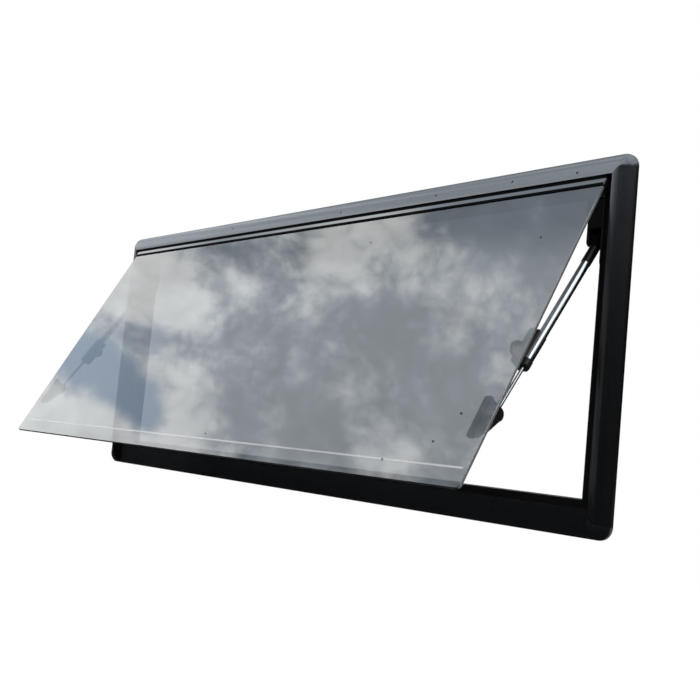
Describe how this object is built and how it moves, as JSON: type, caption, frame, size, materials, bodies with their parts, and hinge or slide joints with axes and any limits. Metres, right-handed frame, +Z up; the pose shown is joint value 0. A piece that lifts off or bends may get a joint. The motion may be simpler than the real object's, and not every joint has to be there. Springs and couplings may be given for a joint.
{
  "type": "caravan window",
  "caption": "Wide top-hung caravan window: black frame, grey tinted pane hinged along the top and held open on telescopic side stays.",
  "frame": {"origin": "middle of the sill, on the back face of the frame's flange, which seats on the outer face of the wall", "axes": "+X to the right seen from outside, +Y into the vehicle, +Z up"},
  "size_m": [1.2, 0.2547, 0.453],
  "materials": {
    "frame_black": "satin black",
    "inner_black": "matt black",
    "rail_black": "satin black",
    "hinge_grey": "satin dark grey",
    "gasket_rubber": "matt black",
    "seal_rubber": "matt black",
    "pane_glass": "grey tint, glossy",
    "stay_black": "satin black",
    "stay_silver": "bright anodised",
    "stay_steel": "bright"
  },
  "bodies": {
    "frame": {"outer_frame": "frame_black", "wall_gasket": "gasket_rubber", "pane_seal": "seal_rubber", "inner_frame": "inner_black", "hinge_rail": "rail_black", "right_stay_bracket": "stay_black", "left_stay_bracket": "stay_black", "right_stay_pin": "stay_steel", "left_stay_pin": "stay_steel"},
    "sash": {"hinge_profile": "hinge_grey", "glazing_gasket": "gasket_rubber", "pane": "pane_glass", "right_hinge_cap": "stay_black", "left_hinge_cap": "stay_black", "right_pane_bracket": "stay_black", "left_pane_bracket": "stay_black"},
    "right_stay_outer": {"right_stay_head": "stay_black", "right_stay_tube": "stay_silver", "right_stay_collar": "stay_black", "right_stay_knob": "stay_black"},
    "right_stay_inner": {"right_stay_rod": "stay_steel"},
    "left_stay_outer": {"left_stay_head": "stay_black", "left_stay_tube": "stay_silver", "left_stay_collar": "stay_black", "left_stay_knob": "stay_black"},
    "left_stay_inner": {"left_stay_rod": "stay_steel"}
  },
  "joints": [
    {"name": "sash_hinge", "type": "hinge", "parent": "frame", "child": "sash", "pos_m": [0, -0.0135, 0.394], "axis": [-1, 0, 0], "range_deg": [-29, 16]},
    {"name": "right_stay_swing", "type": "hinge", "parent": "frame", "child": "right_stay_outer", "pos_m": [0.546, 0.01, 0.332], "axis": [-1, 0, 0], "range_deg": [-34.02, 18.81]},
    {"name": "right_stay_slide", "type": "slide", "parent": "right_stay_outer", "child": "right_stay_inner", "axis": [0, -0.5824, -0.8129], "range_m": [-0.02296, 0.01271]},
    {"name": "left_stay_swing", "type": "hinge", "parent": "frame", "child": "left_stay_outer", "pos_m": [-0.546, 0.01, 0.332], "axis": [-1, 0, 0], "range_deg": [-34.02, 18.81]},
    {"name": "left_stay_slide", "type": "slide", "parent": "left_stay_outer", "child": "left_stay_inner", "axis": [0, -0.5824, -0.8129], "range_m": [-0.02296, 0.01271]}
  ],
  "couplings": [
    {"joint": "right_stay_swing", "follows": "sash_hinge", "ratio": 1.1697},
    {"joint": "right_stay_slide", "follows": "sash_hinge", "m_per_rad": 0.045168},
    {"joint": "left_stay_swing", "follows": "sash_hinge", "ratio": 1.1697},
    {"joint": "left_stay_slide", "follows": "sash_hinge", "m_per_rad": 0.045168}
  ]
}
